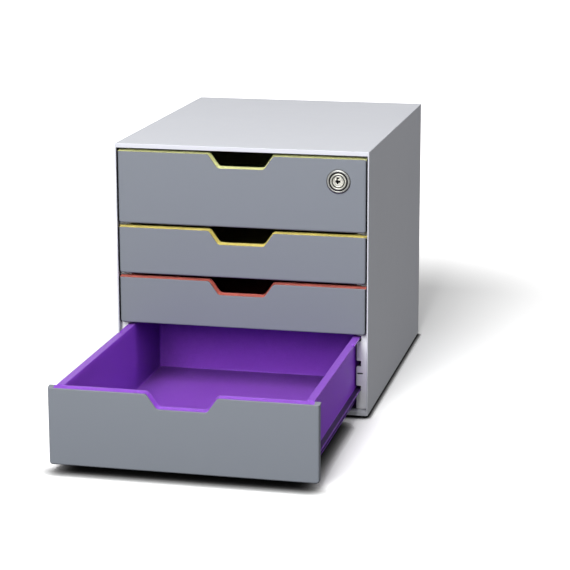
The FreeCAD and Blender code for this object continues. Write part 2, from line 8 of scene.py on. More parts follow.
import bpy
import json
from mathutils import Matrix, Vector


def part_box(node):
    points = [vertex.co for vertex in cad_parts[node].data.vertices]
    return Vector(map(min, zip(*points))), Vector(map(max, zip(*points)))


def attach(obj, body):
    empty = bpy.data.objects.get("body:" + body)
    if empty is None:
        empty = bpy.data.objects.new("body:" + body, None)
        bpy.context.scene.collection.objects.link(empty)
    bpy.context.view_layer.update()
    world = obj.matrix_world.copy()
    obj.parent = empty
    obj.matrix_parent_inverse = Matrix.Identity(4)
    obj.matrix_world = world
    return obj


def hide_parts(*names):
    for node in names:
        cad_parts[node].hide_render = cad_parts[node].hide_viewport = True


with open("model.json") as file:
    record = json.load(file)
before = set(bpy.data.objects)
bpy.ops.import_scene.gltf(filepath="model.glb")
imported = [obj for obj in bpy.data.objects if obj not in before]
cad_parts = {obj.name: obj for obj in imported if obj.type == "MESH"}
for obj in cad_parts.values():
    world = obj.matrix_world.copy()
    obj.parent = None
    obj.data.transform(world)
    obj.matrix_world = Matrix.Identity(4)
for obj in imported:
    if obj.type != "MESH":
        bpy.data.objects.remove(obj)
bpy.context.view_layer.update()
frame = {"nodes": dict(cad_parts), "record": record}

# %% Libraries and the unit of length
import json
import math

import bpy
from mathutils import Vector

MM = 0.001


def corners_mm(node):
    """Lowest and highest corner of an engineering node, in millimetres."""
    low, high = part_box(node)
    return Vector(low) / MM, Vector(high) / MM


print("housing, mm:", [round(value) for value in corners_mm("housing_hood")[1]])

# %% [markdown]
# ## How a piece is made
# Every piece starts as a block of the right size, as a model maker starts from stock. Flat cuts score
# it, some of its faces or edges are picked out by where they lie, and then they are moved, extruded or
# bevelled. Picking by place keeps the script readable and does not depend on face numbers.

# %% A block at its size and place
def select_only(*pieces):
    """Select these pieces and make the first one active."""
    bpy.ops.object.select_all(action="DESELECT")
    for piece in pieces:
        piece.select_set(True)
    bpy.context.view_layer.objects.active = pieces[0]


def name_and_settle_origin(name):
    """Name the new piece and put its origin at the frame's, with its place in its mesh."""
    piece = bpy.context.object
    piece.name = name
    piece.data.name = name
    bpy.ops.object.transform_apply(location=True, rotation=True, scale=True)
    return piece


def block(name, low, high):
    """A cube primitive between two corners in millimetres."""
    bpy.ops.object.select_all(action="DESELECT")
    low, high = Vector(low) * MM, Vector(high) * MM
    bpy.ops.mesh.primitive_cube_add(size=1, location=(low + high) / 2, scale=high - low)
    return name_and_settle_origin(name)


# %% Picking out faces, edges or corners by place
def middle_of(piece, item):
    """Where the middle of a vertex, edge or face lies, in millimetres."""
    if hasattr(item, "co"):
        return item.co / MM
    points = [piece.data.vertices[index].co for index in item.vertices]
    return sum(points, Vector()) / len(points) / MM


def pick(piece, kind, test):
    """Select what passes the test and stay in edit mode. kind is VERT, EDGE or FACE."""
    bpy.context.view_layer.objects.active = piece
    bpy.ops.object.mode_set(mode="EDIT")
    bpy.ops.mesh.select_mode(type=kind)
    bpy.ops.mesh.select_all(action="DESELECT")
    bpy.ops.object.mode_set(mode="OBJECT")
    mesh = piece.data
    items = {"VERT": mesh.vertices, "EDGE": mesh.edges, "FACE": mesh.polygons}[kind]
    found = [item for item in items if test(middle_of(piece, item), item)]
    if not found:
        raise ValueError(f"nothing picked on {piece.name}")
    for item in found:
        item.select = True
    bpy.ops.object.mode_set(mode="EDIT")


# %% Tests that the picks share
CLOSE_MM = 0.02


def near(value, *targets):
    """True if a length in millimetres is one of the targets."""
    return any(abs(value - target) < CLOSE_MM for target in targets)


def runs_along(piece, edge, axis, share=0.999):
    """True if an edge lies along an axis, 0 to 2 for X to Z. A lower share lets it slope."""
    start, end = (piece.data.vertices[index].co for index in edge.vertices)
    run = end - start
    return abs(run[axis]) > share * run.length


print("exact within, mm:", CLOSE_MM)


# %% Cuts, pushes and rounded edges
def score(piece, axis, places, test=None):
    """Cut the faces that pass the test across an axis, at each place in millimetres."""
    for place in places:
        pick(piece, "FACE", test or (lambda at, face: True))
        point, normal = [0, 0, 0], [0, 0, 0]
        point[axis], normal[axis] = place * MM, 1
        bpy.ops.mesh.bisect(plane_co=point, plane_no=normal)
    bpy.ops.object.mode_set(mode="OBJECT")


def push(move):
    """Move what is picked by a step in millimetres."""
    bpy.ops.transform.translate(value=Vector(move) * MM)
    bpy.ops.object.mode_set(mode="OBJECT")


def pull_out(move):
    """Extrude what is picked by a step in millimetres."""
    bpy.ops.mesh.extrude_region_move(TRANSFORM_OT_translate={"value": Vector(move) * MM})
    bpy.ops.object.mode_set(mode="OBJECT")


def sink_field(border, move):
    """Leave a border round the face that is picked and push the field inside it, in millimetres."""
    bpy.ops.mesh.inset(thickness=border * MM, depth=0)
    pull_out(move)


def round_edges(piece, width, steps, test):
    """Bevel the edges that pass the test."""
    pick(piece, "EDGE", test)
    bpy.ops.mesh.bevel(
        offset=width * MM, segments=steps, profile=0.5, affect="EDGES", clamp_overlap=False)
    bpy.ops.object.mode_set(mode="OBJECT")


print("cuts, pushes and bevels are ready")

# %% [markdown]
# Moulded plastic has no knife edges. A Bevel modifier breaks every edge that is still sharp, and a
# Weighted Normal modifier keeps the big faces flat to the eye while the small bevels catch the light.

# %% Break the sharp edges and smooth the shading
DOUBLES_MM = 0.01
SMOOTH_BELOW = math.radians(50)


def soften(piece, width, steps=2, angle=35):
    """Bevel every edge sharper than the angle in degrees, and shade the piece."""
    pick(piece, "VERT", lambda at, corner: True)
    bpy.ops.mesh.remove_doubles(threshold=DOUBLES_MM * MM)
    bpy.ops.object.mode_set(mode="OBJECT")
    select_only(piece)
    bevel = piece.modifiers.new("broken_edges", "BEVEL")
    bevel.width = width * MM
    bevel.segments = steps
    bevel.limit_method = "ANGLE"
    bevel.angle_limit = math.radians(angle)
    bevel.use_clamp_overlap = False
    bpy.ops.object.modifier_apply(modifier=bevel.name)
    bpy.ops.object.shade_smooth_by_angle(angle=SMOOTH_BELOW)
    weighted = piece.modifiers.new("flat_faces", "WEIGHTED_NORMAL")
    weighted.keep_sharp = True
    weighted.weight = 100
    bpy.ops.object.modifier_apply(modifier=weighted.name)


print("smooth shading below, degrees:", round(math.degrees(SMOOTH_BELOW)))

# %% [markdown]
# Repeated shapes are modelled once and copied. Slots, holes and the keyway are cut with a Boolean
# modifier, as a milling cutter would cut them. A finished piece then gets its material, is told which
# moving body carries it, and takes the place of its plain engineering node.

# %% Copies, joins and cut-outs
def copy_of(piece, name, move):
    """A copy with its own mesh, moved by a step in millimetres."""
    select_only(piece)
    bpy.ops.object.duplicate()
    bpy.context.object.location = Vector(move) * MM
    return name_and_settle_origin(name)


def join(piece, *others):
    """Make the other pieces part of this one."""
    select_only(piece, *others)
    bpy.ops.object.join()
    return piece


def cut_out(piece, cutter):
    """Take the cutter's shape away from a piece."""
    select_only(piece)
    boolean = piece.modifiers.new("cut_out", "BOOLEAN")
    boolean.operation = "DIFFERENCE"
    boolean.solver = "EXACT"
    boolean.object = cutter
    bpy.ops.object.modifier_apply(modifier=boolean.name)
    bpy.data.objects.remove(cutter, do_unlink=True)


def settle(piece, body, slot_name, material, *nodes):
    """Give a finished piece its material, its body and the engineering nodes it stands for."""
    piece.data.materials.clear()
    piece.data.materials.append(material)
    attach(piece, body)
    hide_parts(*nodes)
    print(piece.name, "faces:", len(piece.data.polygons))


print("copies, joins and cut-outs are ready")

# %% [markdown]
# ## Help with shader nodes
# A material, a world and a node group are all trees of nodes. A few short functions place the
# commonest nodes. They take a link from another node or a plain number, so recipes read like sums.

# %% Colours and the inputs of a node
def paint(red, green, blue):
    """A colour written 0 to 255, as the linear colour that a shader wants."""
    def linear(level):
        level /= 255
        return level / 12.92 if level <= 0.04045 else ((level + 0.055) / 1.055) ** 2.4
    return (linear(red), linear(green), linear(blue), 1.0)


def shade(colour, amount):
    """The colour times an amount."""
    return tuple(min(1.0, level * amount) for level in colour[:3]) + (1.0,)


def put(tree, value, socket):
    """Feed an input with a link from another node, or with a plain value."""
    if isinstance(value, bpy.types.NodeSocket):
        tree.links.new(value, socket)
    else:
        socket.default_value = value


print("mid grey as a shader wants it:", round(paint(128, 128, 128)[0], 3))


# %% Sums, ranges and noise
def maths(tree, operation, first, second, clamp=False):
    """A Math node. Returns its output."""
    node = tree.nodes.new("ShaderNodeMath")
    node.operation = operation
    node.use_clamp = clamp
    put(tree, first, node.inputs[0])
    put(tree, second, node.inputs[1])
    return node.outputs[0]


def vector_maths(tree, operation, first, second=(0, 0, 0)):
    """A Vector Math node. Its Value output holds a length or a dot product, else its Vector."""
    node = tree.nodes.new("ShaderNodeVectorMath")
    node.operation = operation
    put(tree, first, node.inputs[0])
    put(tree, second, node.inputs[1])
    return node.outputs["Value" if operation in ("LENGTH", "DOT_PRODUCT") else "Vector"]


def ranged(tree, value, low, high, start=0.0, end=1.0, curve="LINEAR"):
    """A Map Range node: start to end becomes low to high. Returns its output."""
    node = tree.nodes.new("ShaderNodeMapRange")
    node.interpolation_type = curve
    for name, given in (("Value", value), ("From Min", start), ("From Max", end),
                        ("To Min", low), ("To Max", high)):
        put(tree, given, node.inputs[name])
    return node.outputs["Result"]


def noise(tree, place, scale, detail=2.0, roughness=0.5):
    """Noise of so many waves a metre, as a value about one half."""
    node = tree.nodes.new("ShaderNodeTexNoise")
    node.inputs["Detail"].default_value = detail
    node.inputs["Roughness"].default_value = roughness
    put(tree, place, node.inputs["Vector"])
    put(tree, scale, node.inputs["Scale"])
    return node.outputs["Fac"]


print("sums, ranges and noise are ready")

# %% [markdown]
# ## The camera
# A long lens a little over two metres away keeps the box's upright edges almost parallel. It stands to
# the right of the drawers and looks down at them. The lens is shifted down a little, as a product
# photographer does to keep the uprights straight.

# %% Camera
CAMERA_PLACE = (0.4981, -2.1581, 0.6402)
PITCH, ROLL, YAW = 12.06, 0.12, 12.75
SENSOR_MM = 36.0
LENS_IN_PIXELS, IMAGE_PIXELS = 1940, 570
LENS_SHIFT = -0.10
camera_data = bpy.data.cameras.new("camera")
camera = bpy.data.objects.new("camera", camera_data)
bpy.context.scene.collection.objects.link(camera)
bpy.context.scene.camera = camera
camera.location = CAMERA_PLACE
camera.rotation_euler = (math.radians(90 - PITCH), math.radians(ROLL), math.radians(YAW))
camera_data.sensor_width = SENSOR_MM
camera_data.lens = SENSOR_MM * LENS_IN_PIXELS / IMAGE_PIXELS
camera_data.shift_y = LENS_SHIFT
print("lens, mm:", round(camera_data.lens, 1))

# %% [markdown]
# ## The light
# The box stands in a bright studio. A tall soft lamp stands in front, a little to the left, so the top
# and the fronts are bright, the right side is darker and a soft shadow falls to the right. A large
# lamp is chosen because a small one would draw hard shadows.

# %% The tall soft lamp
LAMP_AIM = Vector((0.0, -0.1, 0.12))
LAMP_PLACE = (-0.26, -2.5, 1.8)
LAMP_WIDTH, LAMP_HEIGHT = 1.2, 2.3
LAMP_WATTS = 110.0
lamp_data = bpy.data.lights.new("key", "AREA")
lamp_data.shape = "RECTANGLE"
lamp_data.size = LAMP_WIDTH
lamp_data.size_y = LAMP_HEIGHT
lamp_data.energy = LAMP_WATTS
lamp = bpy.data.objects.new("key", lamp_data)
bpy.context.scene.collection.objects.link(lamp)
lamp.location = LAMP_PLACE
lamp.rotation_euler = (lamp.location - LAMP_AIM).to_track_quat("Z", "Y").to_euler()
lamp.visible_camera = False
print("lamps:", len(bpy.data.lights))

# %% [markdown]
# The white room fills the rest, more from its upper right. Light Path tells the world which ray asks:
# the camera and mirror reflections see plain white, and all other rays see the dimmer fill.

# %% The white room
ROOM_LOW = 0.12
ROOM_HIGH = 0.7
ROOM_SEEN = 1.0
BRIGHT_SIDE = (0.68, -0.4, 0.61)
world = bpy.data.worlds.new("room")
bpy.context.scene.world = world
world.use_nodes = True
room = world.node_tree
background = room.nodes["Background"]
background.inputs["Color"].default_value = (1, 1, 1, 1)
ray = room.nodes.new("ShaderNodeLightPath").outputs
looked_at = maths(room, "MAXIMUM", ray["Is Camera Ray"], ray["Is Glossy Ray"])
direction = room.nodes.new("ShaderNodeTexCoord").outputs["Generated"]
fill = ranged(room, vector_maths(room, "DOT_PRODUCT", direction, BRIGHT_SIDE), ROOM_LOW, ROOM_HIGH)
put(room, ranged(room, looked_at, fill, ROOM_SEEN), background.inputs["Strength"])
print("fill, low and high:", ROOM_LOW, ROOM_HIGH)

# %% [markdown]
# ## The floor
# The floor looks white to the camera and still keeps the shadow. It bounces only a little light, so
# the undersides stay dark, and polished plastic sees it bright only far in front of the box.

# %% Floor, and how white each kind of ray sees it
FLOOR_SIZE = 30
FLOOR_BOUNCE = 0.15
FLOOR_SEEN = 1.29
FLOOR_MIRRORED = 1.2
MIRRORED_FROM, MIRRORED_TO = -0.5, -1.2
bpy.ops.object.select_all(action="DESELECT")
bpy.ops.mesh.primitive_plane_add(size=FLOOR_SIZE)
floor = bpy.context.object
floor.name = "floor"
floor_paint = bpy.data.materials.new("white_floor")
floor_paint.use_nodes = True
paving = floor_paint.node_tree
paving.nodes.remove(paving.nodes["Principled BSDF"])
ray = paving.nodes.new("ShaderNodeLightPath").outputs
spot = paving.nodes.new("ShaderNodeTexCoord").outputs["Object"]
spot_parts = paving.nodes.new("ShaderNodeSeparateXYZ")
put(paving, spot, spot_parts.inputs[0])
depth = spot_parts.outputs["Y"]
far_in_front = ranged(paving, depth, FLOOR_BOUNCE, FLOOR_MIRRORED, MIRRORED_FROM, MIRRORED_TO)
unseen = ranged(paving, ray["Is Glossy Ray"], FLOOR_BOUNCE, far_in_front)
white = ranged(paving, ray["Is Camera Ray"], unseen, FLOOR_SEEN)
floor.data.materials.append(floor_paint)
print("floor, m:", FLOOR_SIZE)

# %% [markdown]
# Where the box meets the floor lies a thin black line, and under the open drawer a broader one. An
# Ambient Occlusion node measures how hemmed in each spot is, and a power makes the shade fall off fast.
# Its reach is longer in front of the box, under the drawer.

# %% Contact shade
CONTACT_BESIDE_BOX = 0.006
CONTACT_BELOW_DRAWER = 0.018
BESIDE_UP_TO, BELOW_FROM = -0.175, -0.215
CONTACT_POWER = 5.0
AO_SAMPLES = 16
hemmed_in = paving.nodes.new("ShaderNodeAmbientOcclusion")
hemmed_in.samples = AO_SAMPLES
shade_reach = ranged(paving, depth, CONTACT_BESIDE_BOX, CONTACT_BELOW_DRAWER, BESIDE_UP_TO, BELOW_FROM)
put(paving, shade_reach, hemmed_in.inputs["Distance"])
contact = maths(paving, "POWER", hemmed_in.outputs["AO"], CONTACT_POWER)
matt = paving.nodes.new("ShaderNodeBsdfDiffuse")
put(paving, maths(paving, "MULTIPLY", white, contact), matt.inputs["Color"])
print("contact shade, mm:", CONTACT_BESIDE_BOX / MM, CONTACT_BELOW_DRAWER / MM)

# %% [markdown]
# Further out the floor fades to pure white, so it has no horizon. A weak glow that only the camera sees
# is added there.

# %% Clearing to pure white
CLEAR_FROM, CLEAR_TO = 0.45, 0.95
distance = vector_maths(paving, "LENGTH", spot)
clearing = ranged(paving, distance, 0.0, 1.0, CLEAR_FROM, CLEAR_TO, curve="SMOOTHSTEP")
glow = paving.nodes.new("ShaderNodeEmission")
put(paving, maths(paving, "MULTIPLY", clearing, ray["Is Camera Ray"]), glow.inputs["Strength"])
both = paving.nodes.new("ShaderNodeAddShader")
put(paving, matt.outputs["BSDF"], both.inputs[0])
put(paving, glow.outputs["Emission"], both.inputs[1])
put(paving, both.outputs["Shader"], paving.nodes["Material Output"].inputs["Surface"])
print("white from, m:", CLEAR_TO)

# %% Colour output
view = bpy.context.scene.view_settings
view.view_transform = "Standard"
print("view:", view.view_transform)

# %% [markdown]
# ## Effects that several finishes share
# A shader node group is a small machine with its own inputs and outputs. Each effect gets one, so
# that every plastic can use it with its own amounts. A group hands out only masks and heights; the
# shader itself stays in each material.

# %% An empty group with its sockets
def new_group(name, amounts, outputs):
    """A node group that takes a place and named amounts. Returns its tree, place, amounts and exit."""
    group = bpy.data.node_groups.new(name, "ShaderNodeTree")
    group.interface.new_socket(name="Place", in_out="INPUT", socket_type="NodeSocketVector")
    for socket, value in amounts.items():
        made = group.interface.new_socket(name=socket, in_out="INPUT", socket_type="NodeSocketFloat")
        made.default_value = value
    for socket in outputs:
        group.interface.new_socket(name=socket, in_out="OUTPUT", socket_type="NodeSocketFloat")
    entry = group.nodes.new("NodeGroupInput").outputs
    return group, entry["Place"], entry, group.nodes.new("NodeGroupOutput").inputs


print("groups can be built")

# %% [markdown]
# A spark-eroded mould leaves fine pebbles on plastic, and the molten plastic leaves broad, faint clouds
# where it flowed. Both are noise.

# %% Moulded skin
FLOW_WAVES = 5.5
skin, at, amounts, exits = new_group("moulded_skin", {"Pebbles per metre": 1400.0}, ["Height", "Flow"])
pebbles = noise(skin, at, amounts["Pebbles per metre"], detail=3.0, roughness=0.65)
put(skin, pebbles, exits["Height"])
put(skin, noise(skin, at, FLOW_WAVES, detail=4.0, roughness=0.55), exits["Flow"])
print(skin.name)

# %% [markdown]
# Hands leave a slightly greasier, smoother film in patches. Broad and narrow noise are averaged, and
# what lies above a level counts as a smudge.

# %% Handling marks
SMUDGE_LEVEL = 0.42
marks, at, amounts, exits = new_group("handling_marks", {"Amount": 0.5}, ["Smudge"])
broad = noise(marks, at, 16.0, detail=5.0, roughness=0.6)
streaks = noise(marks, at, 85.0, detail=3.0, roughness=0.5)
mixed = maths(marks, "MULTIPLY", maths(marks, "ADD", broad, streaks), 0.5)
lifted = maths(marks, "MULTIPLY", maths(marks, "SUBTRACT", mixed, SMUDGE_LEVEL), 4.0)
put(marks, maths(marks, "MULTIPLY", lifted, amounts["Amount"], clamp=True), exits["Smudge"])
print(marks.name)

# %% [markdown]
# Edges get rubbed and look paler, and the same pale band paints the highlight that edges catch. The
# Bevel node gives a rounded-over normal, which differs from the true one only near an edge, so their
# difference is a mask of the edges.

# %% Rubbed edges and their painted highlight
worn_and_highlit_edges, at, amounts, exits = new_group("rubbed_and_highlit_edges", {"Reach": 0.9 * MM}, ["Edge"])
rounded = worn_and_highlit_edges.nodes.new("ShaderNodeBevel")
rounded.samples = 4
put(worn_and_highlit_edges, amounts["Reach"], rounded.inputs["Radius"])
true_normal = worn_and_highlit_edges.nodes.new("ShaderNodeNewGeometry").outputs["Normal"]
match = vector_maths(worn_and_highlit_edges, "DOT_PRODUCT", rounded.outputs["Normal"], true_normal)
turned = maths(worn_and_highlit_edges, "MULTIPLY", maths(worn_and_highlit_edges, "SUBTRACT", 1.0, match), 3.0)
patchy = maths(worn_and_highlit_edges, "ADD", noise(worn_and_highlit_edges, at, 120.0, detail=3.0), 0.4)
put(worn_and_highlit_edges, maths(worn_and_highlit_edges, "MULTIPLY", turned, patchy, clamp=True), exits["Edge"])
print(worn_and_highlit_edges.name)

# %% [markdown]
# Dust settles on faces that look up, so the upward part of the normal masks it.

# %% Settled dust
LEVEL_ENOUGH = 0.6
dust, at, amounts, exits = new_group("settled_dust", {"Amount": 0.1}, ["Dust"])
facing = dust.nodes.new("ShaderNodeSeparateXYZ")
put(dust, dust.nodes.new("ShaderNodeNewGeometry").outputs["Normal"], facing.inputs[0])
upward = maths(dust, "SUBTRACT", facing.outputs["Z"], LEVEL_ENOUGH, clamp=True)
motes = noise(dust, at, 700.0, detail=2.0)
drift = noise(dust, at, 9.0, detail=3.0)
settled = maths(dust, "MULTIPLY", maths(dust, "MULTIPLY", motes, drift), 4.0)
fallen = maths(dust, "MULTIPLY", settled, upward)
put(dust, maths(dust, "MULTIPLY", fallen, amounts["Amount"], clamp=True), exits["Dust"])
print(dust.name)

# %% [markdown]
# Little light gets into slots and shut drawers, so their shade is painted into the colour. Where less of
# the sky is open than a limit, the mask rises quickly, and a little noise keeps its border uneven.

# %% Painted shade in deep recesses
RECESS_SHADE_STEEPNESS = 6.0
recess_shade_group, at, amounts, exits = new_group(
    "deep_recess_shade", {"Reach": 9.0 * MM, "Limit": 0.4}, ["Recess"])
open_sky = recess_shade_group.nodes.new("ShaderNodeAmbientOcclusion")
open_sky.samples = AO_SAMPLES
put(recess_shade_group, amounts["Reach"], open_sky.inputs["Distance"])
uneven = maths(recess_shade_group, "MULTIPLY", noise(recess_shade_group, at, 90.0, detail=2.0), 0.03)
limit = maths(recess_shade_group, "ADD", uneven, amounts["Limit"])
closed = maths(recess_shade_group, "SUBTRACT", limit, open_sky.outputs["AO"])
put(recess_shade_group, maths(recess_shade_group, "MULTIPLY", closed, RECESS_SHADE_STEEPNESS, clamp=True), exits["Recess"])
print("node groups:", [group.name for group in bpy.data.node_groups])

# %% [markdown]
# ## The plastics
# The housing and the fronts are polystyrene with a fine matt skin. The trays are smoother and let some
# light soak in. All follow one recipe: a colour that flows a little lighter and darker, as moulded
# colour does, a pebbled bump and the shared effects.

# %% Shared effects and mixed colours in a material
def new_material(name):
    """A material with its node tree, its shader and the place on the piece."""
    material = bpy.data.materials.new(name)
    material.use_nodes = True
    tree = material.node_tree
    place = tree.nodes.new("ShaderNodeTexCoord").outputs["Object"]
    return material, tree, tree.nodes["Principled BSDF"].inputs, place


def add_group(tree, group, place, **amounts):
    """Put a shared effect in a material, with its own amounts. Returns its outputs."""
    node = tree.nodes.new("ShaderNodeGroup")
    node.node_tree = group
    put(tree, place, node.inputs["Place"])
    for socket, value in amounts.items():
        node.inputs[socket.replace("_", " ")].default_value = value
    return node.outputs


def blend_colour(tree, factor, first, second):
    """Mix two colours, each a link or a fixed colour, by a mask."""
    node = tree.nodes.new("ShaderNodeMix")
    node.data_type = "RGBA"
    for name, value in (("Factor", factor), ("A", first), ("B", second)):
        put(tree, value, node.inputs[name])
    return node.outputs["Result"]


def add_bump(tree, shader, height, distance):
    """Raise the surface by a height pattern, over a distance in millimetres."""
    bump = tree.nodes.new("ShaderNodeBump")
    bump.inputs["Strength"].default_value = 1.0
    bump.inputs["Distance"].default_value = distance * MM
    put(tree, height, bump.inputs["Height"])
    put(tree, bump.outputs["Normal"], shader["Normal"])


print("materials can be built")

# %% [markdown]
# The colour is mixed in this order: flow, rubbed edges with their painted highlight, dust and last the
# painted shade of a recess.

# %% Recipe for a moulded plastic
SOAK_MM = 8.0
PALE_WEAR_AND_HIGHLIGHT = 0.35
DUST_COLOUR = paint(205, 203, 198)
SMUDGE_GLOSS = 0.12
GLOSSIEST = 0.05


def moulded_plastic(name, colour, roughness, pebbles, bump_mm, flow=0.04, edge=0.25, smudge=0.5,
                    gloss=0.5, see_in=0.0, recess_shade_mm=10.0, recess_shade_limit=0.445, recess_shade_tone=0.22):
    """A plastic from the recipe. bump_mm is the height of its skin, see_in how much light soaks in."""
    material, tree, shader, place = new_material(name)
    skin_out = add_group(tree, skin, place, Pebbles_per_metre=pebbles)
    marks_out = add_group(tree, marks, place, Amount=smudge)
    edge_wear_and_highlight = add_group(tree, worn_and_highlit_edges, place)
    dust_out = add_group(tree, dust, place, Amount=0.1)
    recess_shade_out = add_group(tree, recess_shade_group, place, Reach=recess_shade_mm * MM, Limit=recess_shade_limit)

    pale_wear_and_highlight = tuple(level + (1 - level) * PALE_WEAR_AND_HIGHLIGHT for level in colour[:3]) + (1.0,)
    tone = blend_colour(tree, skin_out["Flow"], shade(colour, 1 - flow), shade(colour, 1 + flow))
    # Pale edges: rubbed wear and a painted highlight.
    tone = blend_colour(tree, maths(tree, "MULTIPLY", edge_wear_and_highlight["Edge"], edge), tone, pale_wear_and_highlight)
    tone = blend_colour(tree, dust_out["Dust"], tone, DUST_COLOUR)
    # Painted shade: where little sky is open, the colour turns dark.
    tone = blend_colour(tree, recess_shade_out["Recess"], tone, shade(colour, recess_shade_tone))
    put(tree, tone, shader["Base Color"])

    smudged = max(GLOSSIEST, roughness - SMUDGE_GLOSS)
    put(tree, ranged(tree, marks_out["Smudge"], roughness, smudged), shader["Roughness"])
    shader["Specular IOR Level"].default_value = gloss
    tree.nodes["Principled BSDF"].subsurface_method = "BURLEY"
    shader["Subsurface Weight"].default_value = see_in
    shader["Subsurface Radius"].default_value = (1.0, 1.0, 1.0)
    shader["Subsurface Scale"].default_value = SOAK_MM * MM
    add_bump(tree, shader, skin_out["Height"], bump_mm)
    return material


print("light soaks in, mm:", SOAK_MM)

# %% [markdown]
# The housing is pale grey and the covers are a darker, cooler grey. The runner walls get a paler copy of
# the housing grey as painted light on their faces, with a painted shade that reaches further, because
# their slots are black to the eye.

# %% Housing and front colours
# Painted shade in the slots, near black.
SLOT_SHADE_TONE = 0.04
housing_grey = moulded_plastic("housing_grey", paint(203, 205, 212), 0.55, 1300, 0.02, flow=0.012,
                               recess_shade_tone=SLOT_SHADE_TONE)
# A paler copy of the housing grey: painted light on the runner faces.
runner_lit_grey = moulded_plastic("runner_lit_grey", paint(238, 239, 242), 0.55, 1300, 0.02, flow=0.012,
                              recess_shade_mm=14.0, recess_shade_limit=0.385, recess_shade_tone=SLOT_SHADE_TONE)
front_grey = moulded_plastic("front_grey", paint(114, 119, 127), 0.5, 1300, 0.025, flow=0.02, edge=0.5)
print("greys:", housing_grey.name, runner_lit_grey.name, front_grey.name)

# %% [markdown]
# The trays are lime, yellow, red and purple from the top down. A runner flange lies in the shade of
# its slot and looks near black, so it gets a dark copy of its tray's plastic as painted shade.

# %% Tray colours
TRAY_COLOURS = {"tray_lime": paint(226, 228, 158), "tray_yellow": paint(226, 208, 112),
                "tray_red": paint(192, 96, 84), "tray_purple": paint(138, 72, 198)}
FLANGE_SHADE_TONE = 0.13
# The long reach paints shade inside shut trays.
tray_looks = {"roughness": 0.28, "pebbles": 1500, "bump_mm": 0.0015, "flow": 0.015, "gloss": 0.06,
              "smudge": 0.0, "recess_shade_mm": 300.0, "recess_shade_limit": 0.155}
tray_plastics = {}
flange_painted_shades = {}
for name, colour in TRAY_COLOURS.items():
    tray_plastics[name] = moulded_plastic(name, colour, see_in=0.8, edge=0.4, **tray_looks)
    # Painted shade: a dark copy of the tray's colour for its flanges.
    flange_shade_colour = shade(colour, FLANGE_SHADE_TONE)
    flange_painted_shades[name] = moulded_plastic(f"{name}_flange_painted_shade", flange_shade_colour, edge=0.1, **tray_looks)
print("tray colours:", list(tray_plastics))

# %% [markdown]
# The feet are black rubber, dull and coarse. The blind recesses of the lock get a plain black as
# painted shade.

# %% Rubber feet and black recesses
foot_rubber = moulded_plastic("foot_rubber", paint(34, 34, 36), 0.75, 2200, 0.03, edge=0.1, gloss=0.3)
painted_shade_black = moulded_plastic("painted_shade_black", paint(14, 14, 13), 0.7, 2200, 0.02, edge=0.0, gloss=0.2)
print("plastics:", [material.name for material in bpy.data.materials])

# %% [markdown]
# ## The metals
# The lock's face is nickel plated: bright, slightly warm, with the fine rings that a lathe leaves. The
# nut, the cam and the strike are zinc plated steel, greyer and duller, with soft crystal patches.

# %% Lathe rings round the lock's axis
RINGS_PER_METRE = 900.0
rings, at, amounts, exits = new_group("lathe_rings", {}, ["Height", "Tarnish"])
wave = rings.nodes.new("ShaderNodeTexWave")
wave.wave_type = "RINGS"
wave.rings_direction = "Y"
wave.inputs["Scale"].default_value = RINGS_PER_METRE
wave.inputs["Distortion"].default_value = 0.6
put(rings, at, wave.inputs["Vector"])
put(rings, wave.outputs["Fac"], exits["Height"])
put(rings, noise(rings, at, 260.0, detail=4.0), exits["Tarnish"])
print(rings.name)

# %% [markdown]
# The face has a polished plug, a satin collar and a dull bezel, with grime in the joint round the plug.
# The groove round the collar and the bezel's outer edge are darkened as painted shade. The distance from
# the lock's axis picks the tone.

# %% Where the lock is, and the tone of each ring
lock_low, lock_high = corners_mm("lock_barrel")
LOCK_X = (lock_low.x + lock_high.x) / 2
LOCK_Z = (lock_low.z + lock_high.z) / 2
FRONT_Y = corners_mm("drawer_1_front")[0].y
RING_OUTER = 14.0
# Dark stops: grime at 6.1 to 6.5 mm, painted shade at 9.0 to 10.1 mm and at 12.8 mm.
RING_TONES_AND_SHADE = [(5.7, 215, 214, 203), (6.1, 60, 60, 54), (6.5, 60, 60, 54), (6.9, 186, 186, 176),
              (8.7, 186, 186, 176), (9.0, 40, 40, 38), (10.1, 60, 60, 58), (10.5, 150, 151, 150),
              (12.2, 140, 141, 141), (12.8, 60, 61, 64)]
TARNISH = paint(120, 120, 114)
print("lock axis, mm:", round(LOCK_X, 1), round(LOCK_Z, 1))

# %% Nickel for the lock's face
lock_nickel, nickel, shader, place = new_material("lock_nickel")
centre = nickel.nodes.new("ShaderNodeMapping")
centre.inputs["Location"].default_value = (-LOCK_X * MM, 0, -LOCK_Z * MM)
put(nickel, place, centre.inputs["Vector"])
from_axis = centre.outputs["Vector"]
ring_out = add_group(nickel, rings, from_axis)
radius = vector_maths(nickel, "LENGTH", vector_maths(nickel, "MULTIPLY", from_axis, (1, 0, 1)))
tones = nickel.nodes.new("ShaderNodeValToRGB")
put(nickel, ranged(nickel, radius, 0.0, 1.0, 0.0, RING_OUTER * MM), tones.inputs["Fac"])
stops = tones.color_ramp.elements
for ring, *colour in RING_TONES_AND_SHADE:
    stops.new(ring / RING_OUTER).color = paint(*colour)
stops.remove(stops[0])
stops.remove(stops[-1])
tone = blend_colour(nickel, ring_out["Tarnish"], tones.outputs["Color"], TARNISH)
put(nickel, tone, shader["Base Color"])
put(nickel, ranged(nickel, ring_out["Tarnish"], 0.42, 0.28), shader["Roughness"])
shader["Metallic"].default_value = 1.0
add_bump(nickel, shader, ring_out["Height"], 0.004)
print("tones on the lock's face:", len(stops))

